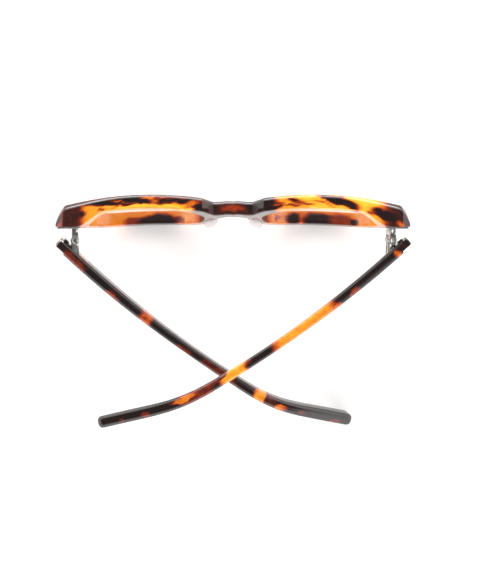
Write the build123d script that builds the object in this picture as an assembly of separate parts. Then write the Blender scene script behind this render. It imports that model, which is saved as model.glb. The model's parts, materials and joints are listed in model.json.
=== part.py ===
from build123d import *
import math
import os

os.makedirs("parts", exist_ok=True)

# All sizes in millimetres and degrees.
# Building pose: front faces -Y, temples straight back along +Y, +Z up.
# Written pose: standing on its two lower rims and one temple tip, temples half folded.
# "left" and "right" are the wearer's: left is +X, right is -X.

# ---- overall sizes -------------------------------------------------------
FRONT_WIDTH = 142.0          # over the end pieces
EYE_WIDTH = 50.6             # lens opening, along the front
EYE_HEIGHT = 35.0            # lens opening, up the front
BRIDGE_WIDTH = 22.4          # between the two openings
ARM_LENGTH = 147.0           # along the temple, butt end to tip

# ---- front: shape seen from the front -------------------------------------
EYE_POWER = 2.55             # squareness of the lens shape
EYE_TAPER = 0.055            # how much narrower the lens gets towards the bottom
RIM_BOTTOM = 4.3             # rim under the lens
RIM_SIDE = 3.9               # rim beside the lens
RIM_TOP = 4.1                # brow over the lens
BROW_SAG_NOSE = 2.2          # fall of the brow line at the bridge
BROW_SAG_SIDE = 3.0          # fall of the brow line at the end pieces
BRIDGE_DIP = 5.6             # fall of the bridge top below the brow end
BRIDGE_HEIGHT = 6.4          # bridge, top to underside
BRIDGE_CROWN = 0.7           # crown of the bridge top
BRIDGE_FLAT = 7.8            # half width of the low bridge top
BRIDGE_ARCH = 2.6            # fall of the bridge underside towards the pads
FACET_RUN = 4.4              # width of the slanted facet from bridge to brow
END_HEIGHT = 10.0            # end piece height at its outer side
END_CUT_X = 3.2              # facet at the end piece's upper corner, along X
END_CUT_Z = 3.4              # same facet, along Z
END_UNDERCUT = 2.6           # slope under the end piece

# ---- front: shape seen from above -----------------------------------------
FRONT_THICK = 5.6            # acetate thickness
BASE_RADIUS = 168.0          # curve of each rim across the front
CURVE_CENTRE_X = 31.0        # each rim stands furthest forward here
BULGE_HALF = 8.0             # half width of the bulge on the bridge
BULGE = 1.3                  # the bridge stands forward by this
CORNER_RUN = 4.6             # rounded front corner of the end piece, along X
CORNER_BACK = 4.0            # same corner, along Y
END_START = 51.0             # end piece starts to thicken here
END_FULL = 63.5              # and is full thickness here
END_BACK = 12.2              # back face of the end piece behind the rim's front
END_OVER = 1.0               # acetate left beyond that face before it is trimmed
END_SLOPE = 5.0              # height of the slope under the thick end piece
PANTO = 11.0                 # lean of the front against the temples

# ---- lenses ---------------------------------------------------------------
LENS_THICK = 2.0
LENS_SET = 1.9               # lens front behind the rim front
GROOVE = 0.8                 # depth of the lens groove

# ---- nose pads ------------------------------------------------------------
PAD_IN = 3.2                 # pad centre inside the lens opening's nose edge
PAD_BACK = -0.4               # pad centre behind the rim's back
PAD_Z = 17.0
PAD_RADIUS = 2.2
PAD_HALF_LONG = 7.4
PAD_FLARE = -17.0            # pad turned about Y, wider apart at the foot
PAD_TIP = 5.0                # pad turned about X

# ---- hinge ----------------------------------------------------------------
HINGE_DROP = 5.6             # hinge centre below the brow end
PIVOT_INSET = 7.2            # pin centre inside the temple's outer face
PIVOT_BACK = 4.8             # pin centre behind the end piece
HINGE_CANT = 9.5             # lean of both hinge pins, so the temples pass
LEAF_THICK = 1.3
LEAF_GAP = 0.08              # between neighbouring leaves
KNUCKLE_R = 1.75
KNUCKLE_CLEAR = 0.30         # round the knuckles
PIN_R = 0.60                 # screw shank
PIN_RUN = 0.05               # running fit of temple leaves on the screw
PIN_SEAT = 0.02              # fit of front leaves on the screw
HEAD_R = 1.15
HEAD_H = 0.50
SLOT_W = 0.30
SLOT_DEEP = 0.25
NECK_WIDTH = 2.6
TRIM_THICK = 0.8             # metal trim on the back of the end piece
TRIM_PAST_HINGE = 2.2        # trim reaches this far past the hinge, up and down
TRIM_IN = 60.9               # trim starts this far from the middle
BACK_FLAT_IN = 52.0          # the end piece's back is flat from here outward
BACK_FLAT_HIGH = 15.0        # above and below the hinge centre
ANCHOR_WIDTH = 6.0           # sunk base of the front hinge half
ANCHOR_DEEP = 1.5
RIVET_R = 0.55
RIVET_FIT = 0.02
FRONT_RIVET_LONG = 3.2
RIVET_SPREAD = 2.1           # front rivets either side of the pin, along X
TRIM_FIT = 0.03              # trim slot round the hinge neck
OPEN_GAP = 0.20              # butt end to trim with the temple open

# ---- temple ---------------------------------------------------------------
ARM_THICK_BUTT = 4.4
ARM_THICK_MID = 3.6
ARM_THICK_TIP = 4.9
ARM_HIGH_BUTT = 8.8
ARM_HIGH_MID = 6.2
ARM_HIGH_TIP = 7.4
ARM_ROUND = 0.34             # corner radius as part of the thickness
BOW_ANGLE = 11.0              # gentle inward bow
BOW_END = 0.60               # the bow is complete at this part of the length
BEND_ANGLE = 18.0            # inward bend behind the ear
BEND_FROM = 0.63
BEND_TO = 0.87
DROP_ANGLE = 16.5            # ear drop
DROP_FROM = 0.66
DROP_TO = 0.88
TIP_ROUND = 1.5              # rounding of the tip
TIP_SLACK = 0.2              # finds the edges of the end face
SECTIONS = 22
CAP_WALL = 0.6               # metal cap on the butt end
CAP_OUTER = 0.85
CAP_INNER = 0.6
CAP_OUTER_LONG = 5.0
CAP_INNER_LONG = 1.7
HEEL_FROM = 1.4              # small step on the inner side by the hinge
HEEL_TO = 3.7
HEEL_HIGH = 5.0
HEEL_OUT = 0.6
PLATE_FROM = 5.9             # temple hinge plate, from the butt end
PLATE_LONG = 10.4
PLATE_HIGH = 5.4
PLATE_DEEP = 0.7
PLATE_PROUD = 0.2
LEAF_FROM = 6.0              # foot of the temple leaves, from the butt end
LEAF_LONG = 4.0
TEMPLE_RIVET_LONG = 2.4
WIRE_START = 18.2            # core wire, from the butt end
WIRE_STOP = 14.5             # and short of the tip by this
WIRE_THICK = 0.9
WIRE_HIGH = 1.9

# ---- written pose ---------------------------------------------------------
REST_FOLD_LEFT = 45.5        # temple turned in from straight back
REST_FOLD_RIGHT = 48.4
SETTLE_STEPS = 4

# ---- worked out from the sizes above --------------------------------------
HALF = FRONT_WIDTH / 2
EYE_X = (BRIDGE_WIDTH + EYE_WIDTH) / 2
EYE_Z = RIM_BOTTOM + EYE_HEIGHT / 2
BROW_Z = RIM_BOTTOM + EYE_HEIGHT + RIM_TOP
NOSE_BROW_Z = BROW_Z - BROW_SAG_NOSE
SIDE_BROW_Z = BROW_Z - BROW_SAG_SIDE
BRIDGE_TOP = NOSE_BROW_Z - BRIDGE_DIP
HINGE_Z = SIDE_BROW_Z - HINGE_DROP
PIVOT_X = HALF - PIVOT_INSET
PIVOT_Y = END_BACK + PIVOT_BACK
BUTT_Y = END_BACK + OPEN_GAP
LEAF_PITCH = LEAF_THICK + LEAF_GAP
HINGE_HALF_H = 2.5 * LEAF_THICK + 2 * LEAF_GAP
ARM_X = HALF - ARM_THICK_BUTT / 2
ARM_INNER = HALF - ARM_THICK_BUTT
FAR = 4 * HALF


def smooth(value, start, end):
    """0 before start, 1 after end, an even curve between."""
    part = min(1.0, max(0.0, (value - start) / (end - start)))
    return part * part * (3 - 2 * part)


def save(node, shape):
    shape.label = node
    export_step(shape, "parts/" + node + ".step")


def mirrored(shape):
    return mirror(shape, about=Plane.YZ)


# ---------------------------------------------------------------------------
# front
# ---------------------------------------------------------------------------
def eye_point(angle, grow_x, grow_z, y):
    """Point on the lens shape grown outward by the given amounts."""
    c, s = math.cos(math.radians(angle)), math.sin(math.radians(angle))
    power = 2 / EYE_POWER
    x = (EYE_WIDTH / 2 + grow_x) * math.copysign(abs(c) ** power, c)
    z = (EYE_HEIGHT / 2 + grow_z) * math.copysign(abs(s) ** power, s)
    taper = 1 + EYE_TAPER * (z / (EYE_HEIGHT / 2) - 1) / 2
    return (EYE_X + x * taper, y, EYE_Z + z)


def eye_prism(grow, y_from, y_to):
    step = 10
    points = [eye_point(a, grow, grow, y_from) for a in range(0, 360, step)]
    face = make_face(Spline(*points, periodic=True))
    return extrude(face, amount=y_to - y_from, dir=(0, 1, 0))


def outline_prism(y_from, y_to):
    """Front view outline as a prism along Y."""
    def at(x, z):
        return (x, y_from, z)

    facet_end = BRIDGE_FLAT + FACET_RUN
    side_low = SIDE_BROW_Z - END_CUT_Z - END_HEIGHT
    corner_x = HALF - END_CUT_X
    under = BRIDGE_TOP + BRIDGE_CROWN - BRIDGE_HEIGHT
    nose = eye_point(180, RIM_SIDE, RIM_BOTTOM, y_from)
    rim = [eye_point(a, RIM_SIDE, RIM_BOTTOM, y_from) for a in range(190, 360, 10)]
    temple_side = eye_point(360, RIM_SIDE, RIM_BOTTOM, y_from)

    def half(sign):
        def p(x, z):
            return at(sign * x, z)
        flip = [(sign * q[0], q[1], q[2]) for q in [nose] + rim + [temple_side]]
        crown = ThreePointArc(at(0, BRIDGE_TOP + BRIDGE_CROWN),
                              p(BRIDGE_FLAT / 2, BRIDGE_TOP + BRIDGE_CROWN * 0.75),
                              p(BRIDGE_FLAT, BRIDGE_TOP))
        facet = Line(p(BRIDGE_FLAT, BRIDGE_TOP), p(facet_end, NOSE_BROW_Z))
        brow = Spline(p(facet_end, NOSE_BROW_Z), p(EYE_X, BROW_Z), p(corner_x, SIDE_BROW_Z))
        cut = Line(p(corner_x, SIDE_BROW_Z), p(HALF, SIDE_BROW_Z - END_CUT_Z))
        side = Line(p(HALF, SIDE_BROW_Z - END_CUT_Z), p(HALF, side_low))
        foot = (temple_side[0], side_low - 2 * END_UNDERCUT)
        low = Spline(at(0, under), p(nose[0] * 0.62, under - BRIDGE_ARCH), *flip[:-1], p(*foot))
        slope = Line(p(*foot), p(HALF, side_low))
        return [crown, facet, brow, cut, side, slope, low]

    wire = Wire(edges=Curve(half(1) + half(-1)).edges())
    return extrude(make_face(wire), amount=y_to - y_from, dir=(0, 1, 0))


def front_y(x):
    """Front surface of the acetate, behind its most forward line."""
    x = abs(x)
    base = (x - CURVE_CENTRE_X) ** 2 / (2 * BASE_RADIUS)
    return base - BULGE * (1 - smooth(x, 0, BULGE_HALF))


def plain_back_y(x):
    return front_y(x) + FRONT_THICK


def back_y(x):
    plain = plain_back_y(x)
    lift = smooth(abs(x), END_START, END_FULL)
    return plain + (END_BACK + END_OVER - plain) * lift


def plan_prism(front, back, half_width, z_from, z_to):
    """Solid between two plan curves."""
    step = half_width / 14
    xs = [step * i for i in range(-14, 15)]
    fore = Spline(*[(x, front(x), z_from) for x in xs])
    aft = Spline(*[(x, back(x), z_from) for x in xs])
    ends = [Line((s * half_width, front(half_width), z_from),
                 (s * half_width, back(half_width), z_from)) for s in (-1, 1)]
    wire = Wire(edges=Curve([fore, aft] + ends).edges())
    return extrude(make_face(wire), amount=z_to - z_from, dir=(0, 0, 1))


def end_piece_room():
    """Space in which the end pieces may thicken, with a sloping underside."""
    low = SIDE_BROW_Z - END_CUT_Z - END_HEIGHT - END_UNDERCUT
    points = [(0, -FAR, low - END_SLOPE), (0, FRONT_THICK, low - END_SLOPE),
              (0, END_BACK + END_OVER, low), (0, FAR, low), (0, FAR, FAR), (0, -FAR, FAR)]
    face = make_face(Polyline(*points, close=True))
    return Pos(-FAR, 0, 0) * extrude(face, amount=2 * FAR, dir=(1, 0, 0))


def corner_cutter(sign):
    """Takes the front corner off an end piece."""
    x0, y0 = HALF - CORNER_RUN, front_y(HALF - CORNER_RUN)
    points = [(sign * x0, y0), (sign * HALF, y0 + CORNER_BACK), (sign * FAR, y0 + CORNER_BACK),
              (sign * FAR, -FAR), (sign * x0, -FAR)]
    arc = ThreePointArc(points[0], (sign * (x0 + CORNER_RUN * 0.60), y0 + CORNER_BACK * 0.40),
                        points[1])
    lines = [Line(points[i], points[(i + 1) % 5]) for i in range(1, 5)]
    face = make_face(Wire(edges=Curve([arc] + lines).edges()))
    return Pos(0, 0, -FAR) * extrude(face, amount=2 * FAR, dir=(0, 0, 1))


def tilt(shape):
    """From the flat front to its leaning place."""
    return Pos(0, 0, HINGE_Z) * Rot(PANTO, 0, 0) * Pos(0, 0, -HINGE_Z) * shape


def front_blank():
    plain = plan_prism(front_y, plain_back_y, HALF, -10, 2 * BROW_Z)
    thick = plan_prism(front_y, back_y, HALF, -10, 2 * BROW_Z) & end_piece_room()
    solid = outline_prism(-10, 30) & (plain + thick)
    for sign in (1, -1):
        solid = solid - corner_cutter(sign)
    opening = eye_prism(0, -10, 30)
    solid = solid - opening - mirrored(opening)
    return solid


def lens_shape():
    shell = plan_prism(lambda x: front_y_plain(x) + LENS_SET,
                       lambda x: front_y_plain(x) + LENS_SET + LENS_THICK, HALF, -10, 2 * BROW_Z)
    return eye_prism(GROOVE, -10, 30) & shell


def front_y_plain(x):
    return (abs(x) - CURVE_CENTRE_X) ** 2 / (2 * BASE_RADIUS)


def end_zone(sign, y_from, y_to, z_half, x_from=TRIM_IN):
    """Box over the back of one end piece."""
    box = Box(FAR, y_to - y_from, 2 * z_half, align=(Align.MIN, Align.MIN, Align.CENTER))
    box = Pos(x_from, y_from, HINGE_Z) * box
    return box if sign > 0 else mirrored(box)


# ---------------------------------------------------------------------------
# hinge, local: pin along Z through the origin, outboard +X, rear +Y
# ---------------------------------------------------------------------------
def disc(radius, low, high):
    return Pos(0, 0, low) * Cylinder(radius, high - low, align=(Align.CENTER, Align.CENTER, Align.MIN))


def block(x0, x1, y0, y1, z0, z1):
    return Pos(x0, y0, z0) * Box(x1 - x0, y1 - y0, z1 - z0, align=(Align.MIN,) * 3)


def leaf_levels(front_half):
    return (-2, 0, 2) if front_half else (-1, 1)


def cant(shape):
    return Rot(0, -HINGE_CANT, 0) * shape


def place_hinge(shape, sign):
    """From the hinge's own frame to the building pose."""
    return Pos(sign * PIVOT_X, PIVOT_Y, HINGE_Z) * shape


def front_hinge(sign):
    half_w = NECK_WIDTH / 2
    neck_end = -(KNUCKLE_R + KNUCKLE_CLEAR)
    solid = block(-half_w, half_w, -PIVOT_BACK - TRIM_THICK - ANCHOR_DEEP / 2, neck_end,
                  -HINGE_HALF_H, HINGE_HALF_H)
    for level in leaf_levels(True):
        mid = level * LEAF_PITCH
        low, high = mid - LEAF_THICK / 2, mid + LEAF_THICK / 2
        solid = solid + disc(KNUCKLE_R, low, high)
        solid = solid + block(-half_w, half_w, neck_end - 0.5, 0, low, high)
    solid = solid - disc(PIN_R + PIN_SEAT, -FAR, FAR)
    solid = cant(solid)
    anchor = block(-ANCHOR_WIDTH / 2, ANCHOR_WIDTH / 2,
                   -PIVOT_BACK - TRIM_THICK - ANCHOR_DEEP, -PIVOT_BACK - TRIM_THICK,
                   -HINGE_HALF_H, HINGE_HALF_H)
    holes = front_rivets(RIVET_R + RIVET_FIT)
    return place_hinge(solid + anchor - holes, sign)


def front_rivets(radius):
    start = -PIVOT_BACK - TRIM_THICK
    rivets = []
    for side in (-1, 1):
        pin = Rot(90, 0, 0) * Cylinder(radius, FRONT_RIVET_LONG,
                                       align=(Align.CENTER, Align.CENTER, Align.MIN))
        rivets.append(Pos(side * RIVET_SPREAD, start, 0) * pin)
    return Compound(children=rivets) if radius == RIVET_R else rivets[0] + rivets[1]


def hinge_screw(sign):
    top = HINGE_HALF_H
    solid = disc(PIN_R, -HINGE_HALF_H, top) + disc(HEAD_R, top, top + HEAD_H)
    slot = block(-HEAD_R, HEAD_R, -SLOT_W / 2, SLOT_W / 2, top + HEAD_H - SLOT_DEEP, top + HEAD_R)
    solid = solid - Rot(0, 0, 35) * slot
    return place_hinge(cant(solid), sign)


def temple_hinge(sign):
    face = PIVOT_INSET - ARM_THICK_BUTT          # inner face of the temple from the pin
    foot0 = LEAF_FROM - (PIVOT_Y - BUTT_Y)
    foot1 = foot0 + LEAF_LONG
    leaves = None
    for level in leaf_levels(False):
        mid = level * LEAF_PITCH
        reach = face + PLATE_DEEP / 2
        outline = make_hull(CenterArc((0, 0), KNUCKLE_R, 0, 360).edges()
                            + Line((reach, foot0), (reach, foot1)).edges())
        leaf = Pos(0, 0, mid - LEAF_THICK / 2) * extrude(outline, amount=LEAF_THICK, dir=(0, 0, 1))
        leaves = leaf if leaves is None else leaves + leaf
    leaves = leaves - disc(PIN_R + PIN_RUN, -FAR, FAR)
    if sign < 0:
        leaves = mirrored(leaves)
    leaves = cant(leaves)
    plate0 = PLATE_FROM - (PIVOT_Y - BUTT_Y)
    plate = block(face - PLATE_PROUD, face + PLATE_DEEP, plate0, plate0 + PLATE_LONG,
                  -PLATE_HIGH / 2, PLATE_HIGH / 2)
    holes = temple_rivets(RIVET_R + RIVET_FIT)
    if sign < 0:
        plate, holes = mirrored(plate), mirrored(holes)
    return place_hinge(leaves + plate - holes, sign)


def temple_rivets(radius):
    face = PIVOT_INSET - ARM_THICK_BUTT
    plate0 = PLATE_FROM - (PIVOT_Y - BUTT_Y)
    rivets = []
    for part in (0.56, 0.86):
        pin = Rot(0, 90, 0) * Cylinder(radius, TEMPLE_RIVET_LONG,
                                       align=(Align.CENTER, Align.CENTER, Align.MIN))
        rivets.append(Pos(face - PLATE_PROUD, plate0 + PLATE_LONG * part, 0) * pin)
    return Compound(children=rivets) if radius == RIVET_R else rivets[0] + rivets[1]


# ---------------------------------------------------------------------------
# temple, built for the left side
# ---------------------------------------------------------------------------
def inward_angle(part):
    bow = BOW_ANGLE * min(1.0, part / BOW_END)
    return bow + BEND_ANGLE * smooth(part, BEND_FROM, BEND_TO)


def drop_angle(part):
    return DROP_ANGLE * smooth(part, DROP_FROM, DROP_TO)


def arm_plane(part):
    """Section plane at a part of the temple's length."""
    x, y, z = ARM_X, BUTT_Y, HINGE_Z
    steps = 120
    count = max(1, round(part * steps))
    piece = part * ARM_LENGTH / count
    for i in range(count if part > 0 else 0):
        mid = part * (i + 0.5) / count
        turn, fall = math.radians(inward_angle(mid)), math.radians(drop_angle(mid))
        x -= piece * math.sin(turn) * math.cos(fall)
        y += piece * math.cos(turn) * math.cos(fall)
        z -= piece * math.sin(fall)
    turn, fall = math.radians(inward_angle(part)), math.radians(drop_angle(part))
    along = (-math.sin(turn) * math.cos(fall), math.cos(turn) * math.cos(fall), -math.sin(fall))
    return Plane(origin=(x, y, z), x_dir=(math.cos(turn), math.sin(turn), 0), z_dir=along)


def arm_size(part):
    """Thickness and height of the temple."""
    if part < 0.5:
        k = smooth(part, 0.05, 0.5)
        return (ARM_THICK_BUTT + (ARM_THICK_MID - ARM_THICK_BUTT) * k,
                ARM_HIGH_BUTT + (ARM_HIGH_MID - ARM_HIGH_BUTT) * k)
    k = smooth(part, 0.5, 0.93)
    return (ARM_THICK_MID + (ARM_THICK_TIP - ARM_THICK_MID) * k,
            ARM_HIGH_MID + (ARM_HIGH_TIP - ARM_HIGH_MID) * k)


def arm_section(part):
    thick, high = arm_size(part)
    return arm_plane(part) * RectangleRounded(thick, high, ARM_ROUND * thick)


def arm_blank():
    sections = [arm_section(i / SECTIONS) for i in range(SECTIONS + 1)]
    body = loft(sections)
    end = arm_plane(1.0)
    edges = [e for e in body.edges() if abs(end.to_local_coords(e.center()).Z) < TIP_SLACK]
    try:
        return fillet(edges, TIP_ROUND)
    except Exception:
        return chamfer(edges, TIP_ROUND / 2)


def arm_heel():
    return Pos(ARM_INNER - HEEL_OUT, BUTT_Y + HEEL_FROM, HINGE_Z - HEEL_HIGH / 2) * Box(
        HEEL_OUT + 1.0, HEEL_TO - HEEL_FROM, HEEL_HIGH, align=(Align.MIN,) * 3)


def cap_zone():
    wall = Pos(0, BUTT_Y - 1, -FAR) * Box(FAR, CAP_WALL + 1, 2 * FAR, align=(Align.MIN,) * 3)
    outer = Pos(HALF - CAP_OUTER, BUTT_Y - 1, -FAR) * Box(
        FAR, CAP_OUTER_LONG + 1, 2 * FAR, align=(Align.MIN,) * 3)
    inner = Pos(ARM_INNER - 1, BUTT_Y - 1, -FAR) * Box(
        CAP_INNER + 1, CAP_INNER_LONG + 1, 2 * FAR, align=(Align.MIN,) * 3)
    return wall + outer + inner


def core_wire():
    steps = 16
    sections = []
    for i in range(steps + 1):
        part = (WIRE_START + (ARM_LENGTH - WIRE_STOP - WIRE_START) * i / steps) / ARM_LENGTH
        sections.append(arm_plane(part) * RectangleRounded(WIRE_THICK, WIRE_HIGH, WIRE_THICK * 0.4))
    return loft(sections)


# ---------------------------------------------------------------------------
# putting it together
# ---------------------------------------------------------------------------
def build_front():
    """Everything that stays with the front, in the building pose."""
    parts = {}
    blank = tilt(front_blank())
    lens = lens_shape()
    for sign, side in ((1, "left"), (-1, "right")):
        parts[side + "_lens"] = tilt(lens if sign > 0 else mirrored(lens))
        z_half = HINGE_HALF_H + TRIM_PAST_HINGE
        blank = blank - end_zone(sign, END_BACK, FAR, BACK_FLAT_HIGH, BACK_FLAT_IN)
        trim = blank & end_zone(sign, END_BACK - TRIM_THICK, END_BACK, z_half)
        blank = blank - end_zone(sign, END_BACK - TRIM_THICK, FAR, z_half)
        hinge = front_hinge(sign)
        slot = block(-NECK_WIDTH / 2 - TRIM_FIT, NECK_WIDTH / 2 + TRIM_FIT, -FAR, -KNUCKLE_R,
                     -HINGE_HALF_H - TRIM_FIT, HINGE_HALF_H + TRIM_FIT)
        trim = trim - place_hinge(cant(slot), sign)
        parts[side + "_end_trim"] = trim
        parts[side + "_front_hinge"] = hinge
        parts[side + "_front_rivets"] = place_hinge(front_rivets(RIVET_R), sign)
        parts[side + "_hinge_screw"] = hinge_screw(sign)
        blank = blank - hinge - place_hinge(front_rivets(RIVET_R + RIVET_FIT), sign)
        parts[side + "_nose_pad"] = tilt(nose_pad() if sign > 0 else mirrored(nose_pad()))
    for side in ("left", "right"):
        blank = blank - parts[side + "_lens"] - parts[side + "_nose_pad"]
    parts["front_frame"] = blank
    return parts


def nose_pad():
    """Spindle turned about its own length, set on the nose side of a rim."""
    x = BRIDGE_WIDTH / 2 - PAD_IN + PAD_RADIUS / 2
    y = back_y(x) + PAD_BACK
    angles = [math.radians(a) for a in range(-90, 91, 15)]
    arc = Spline(*[(PAD_RADIUS * math.cos(a), PAD_HALF_LONG * math.sin(a)) for a in angles],
                 tangents=[(1, 0), (-1, 0)])
    face = make_face(Curve([arc, Line(arc @ 1, arc @ 0)]).edges())
    solid = revolve(Plane.XZ * face, axis=Axis.Z)
    return Pos(x, y, PAD_Z) * Rot(PAD_TIP, PAD_FLARE, 0) * solid


def build_temple(sign, side):
    blank = arm_blank()
    zone = cap_zone()
    cap = blank & zone
    arm = blank - zone + (arm_heel() - zone)
    wire = core_wire()
    arm = arm - wire
    if sign < 0:
        arm, cap, wire = mirrored(arm), mirrored(cap), mirrored(wire)
    hinge = temple_hinge(sign)
    rivets = temple_rivets(RIVET_R)
    holes = temple_rivets(RIVET_R + RIVET_FIT)
    if sign < 0:
        rivets, holes = mirrored(rivets), mirrored(holes)
    rivets, holes = place_hinge(rivets, sign), place_hinge(holes, sign)
    arm = arm - hinge - holes
    return {side + "_temple_arm": arm, side + "_butt_cap": cap, side + "_core_wire": wire,
            side + "_temple_hinge": hinge, side + "_temple_rivets": rivets}


def pin_axis(sign):
    slope = math.radians(HINGE_CANT)
    return Axis((sign * PIVOT_X, PIVOT_Y, HINGE_Z), (-math.sin(slope), 0, math.cos(slope)))


def settle_angle(front, tip):
    """Pitch that brings the lower rims and the low temple tip to one level."""
    angle = 0.0
    for _ in range(SETTLE_STEPS):
        f = (Rot(-angle, 0, 0) * front).bounding_box()
        t = (Rot(-angle, 0, 0) * tip).bounding_box()
        angle += math.degrees(math.atan2(t.min.Z - f.min.Z, t.max.Y - f.min.Y))
    return angle


def main():
    parts = build_front()
    temples = {"left": build_temple(1, "left"), "right": build_temple(-1, "right")}
    folds = {"left": REST_FOLD_LEFT, "right": -REST_FOLD_RIGHT}
    for sign, side in ((1, "left"), (-1, "right")):
        for node, shape in temples[side].items():
            parts[node] = shape.rotate(pin_axis(sign), folds[side])

    pitch = settle_angle(parts["front_frame"], parts["left_temple_arm"])
    turned = {node: Rot(-pitch, 0, 0) * shape for node, shape in parts.items()}
    boxes = [shape.bounding_box() for shape in turned.values()]
    mid_x = (min(b.min.X for b in boxes) + max(b.max.X for b in boxes)) / 2
    mid_y = (min(b.min.Y for b in boxes) + max(b.max.Y for b in boxes)) / 2
    low_z = min(b.min.Z for b in boxes)
    shift = Pos(-mid_x, -mid_y, -low_z)
    for node, shape in turned.items():
        save(node, shift * shape)

    place = shift * Rot(-pitch, 0, 0)
    print("pitch", pitch)
    for sign, side in ((1, "left"), (-1, "right")):
        axis = pin_axis(sign)
        a = place * Pos(axis.position) * Vertex(0, 0, 0)
        b = place * Pos(axis.position + axis.direction) * Vertex(0, 0, 0)
        print(side, tuple(a.center()), tuple(b.center() - a.center()))


if __name__ == "__main__":
    main()
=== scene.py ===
"""Eyeglasses frame in polished tortoiseshell acetate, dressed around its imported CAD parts.

Sizes are millimetres until a mesh is put in its place. Two working frames are used:
the flat front (lens plane upright, temples straight back) and the world of the parts.
"""
import json
import logging
import math
from dataclasses import dataclass, field
from enum import Enum
from typing import Callable, Iterable, Optional, Sequence, Union

import bmesh
import bpy
from mathutils import Matrix, Vector, noise


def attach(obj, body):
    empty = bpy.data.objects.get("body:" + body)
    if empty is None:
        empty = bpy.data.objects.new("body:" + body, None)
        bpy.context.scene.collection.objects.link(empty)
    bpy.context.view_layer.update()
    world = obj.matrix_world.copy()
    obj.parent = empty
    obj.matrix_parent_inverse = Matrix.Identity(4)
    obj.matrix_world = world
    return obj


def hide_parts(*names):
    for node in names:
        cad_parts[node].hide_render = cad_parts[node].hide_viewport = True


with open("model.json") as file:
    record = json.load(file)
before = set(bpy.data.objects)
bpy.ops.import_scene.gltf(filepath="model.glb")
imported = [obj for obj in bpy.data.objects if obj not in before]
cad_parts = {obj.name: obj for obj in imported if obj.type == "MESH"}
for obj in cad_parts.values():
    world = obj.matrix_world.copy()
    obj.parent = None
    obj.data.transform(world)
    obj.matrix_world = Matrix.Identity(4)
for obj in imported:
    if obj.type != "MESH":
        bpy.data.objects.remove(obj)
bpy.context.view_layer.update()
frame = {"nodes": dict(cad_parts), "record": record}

LOG = logging.getLogger("eyeglasses")
MM = 0.001
WELD = 0.0005                    # vertices closer than this are one, in millimetres
CORNER_ANGLE = 50.0              # degrees, edges of small metal parts sharper than this
NOISE_SEED = 7                   # without it the pattern strays differently on each run
Pair = tuple[float, float]
Colour = tuple[float, float, float, float]


class Side(Enum):
    """The wearer's sides. Left stands on +X."""

    LEFT = 1
    RIGHT = -1

    @property
    def word(self) -> str:
        """The side's name in node names."""
        return self.name.lower()


class Slot(Enum):
    """Material slots of the record, named alongside new pieces."""

    TORTOISE = "tortoise_acetate"
    CLEAR = "clear_acetate"
    POLISHED = "polished_metal"
    HINGE = "hinge_metal"
    SCREW = "screw_steel"


# ---------------------------------------------------------------------------
# small maths
# ---------------------------------------------------------------------------
def smooth(value: float, start: float, end: float) -> float:
    """Even curve from 0 at start to 1 at end.

    Args:
        value: the number looked up.
        start: where the curve leaves 0.
        end: where it reaches 1.

    Returns:
        A number from 0 to 1.
    """
    part = min(1.0, max(0.0, (value - start) / (end - start)))
    return part * part * (3 - 2 * part)


def mix(a: float, b: float, share: float) -> float:
    """Number between a and b at the given share."""
    return a + (b - a) * share


def linear(red: int, green: int, blue: int, alpha: float = 1.0) -> Colour:
    """Turns a display colour into the shader's linear one.

    Args:
        red: 0 to 255.
        green: 0 to 255.
        blue: 0 to 255.
        alpha: opacity.

    Returns:
        Linear colour with alpha.
    """
    def channel(value: int) -> float:
        part = value / 255
        return part / 12.92 if part <= 0.04045 else ((part + 0.055) / 1.055) ** 2.4
    return channel(red), channel(green), channel(blue), alpha


# ---------------------------------------------------------------------------
# places: the same steps as the part's source
# ---------------------------------------------------------------------------
@dataclass(frozen=True)
class Places:
    """Where the flat front and the straight temples stand in the world."""

    lean: float = 11.0               # of the front against the temples
    hinge_z: float = 34.8
    pitch: float = -4.4192           # whole object settled on the floor
    shift: tuple[float, float, float] = (-0.042, -49.240, -0.135)
    pivot_x: float = 63.8
    pivot_y: float = 17.0
    cant: float = 9.5                # lean of both pins
    fold_left: float = 45.5
    fold_right: float = -48.4

    def straight(self) -> Matrix:
        """From the open temples' frame to the world."""
        return Matrix.Translation(self.shift) @ Matrix.Rotation(math.radians(self.pitch), 4, "X")

    def lean_front(self) -> Matrix:
        """From the flat front to the open temples' frame."""
        up = Matrix.Translation((0, 0, self.hinge_z))
        return up @ Matrix.Rotation(math.radians(self.lean), 4, "X") @ up.inverted()

    def pin(self, side: Side) -> Vector:
        """Pin centre of a hinge in the open temples' frame."""
        return Vector((side.value * self.pivot_x, self.pivot_y, self.hinge_z))

    def temple(self, side: Side) -> Matrix:
        """From a straight temple to its folded place in the world.

        Args:
            side: which temple.

        Returns:
            The matrix, in millimetres.
        """
        slope = math.radians(self.cant)
        axis = Vector((-math.sin(slope), 0, math.cos(slope)))
        fold = self.fold_left if side is Side.LEFT else self.fold_right
        centre = Matrix.Translation(self.pin(side))
        turn = centre @ Matrix.Rotation(math.radians(fold), 4, axis) @ centre.inverted()
        return self.straight() @ turn

    def hinge(self, side: Side, canted: bool = True) -> Matrix:
        """From a hinge's own frame to the open temples' frame.

        Args:
            side: which hinge.
            canted: whether the part leans with the pin.

        Returns:
            The matrix, in millimetres.
        """
        lean = Matrix.Rotation(math.radians(-self.cant if canted else 0.0), 4, "Y")
        return Matrix.Translation(self.pin(side)) @ lean


PLACES = Places()


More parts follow.
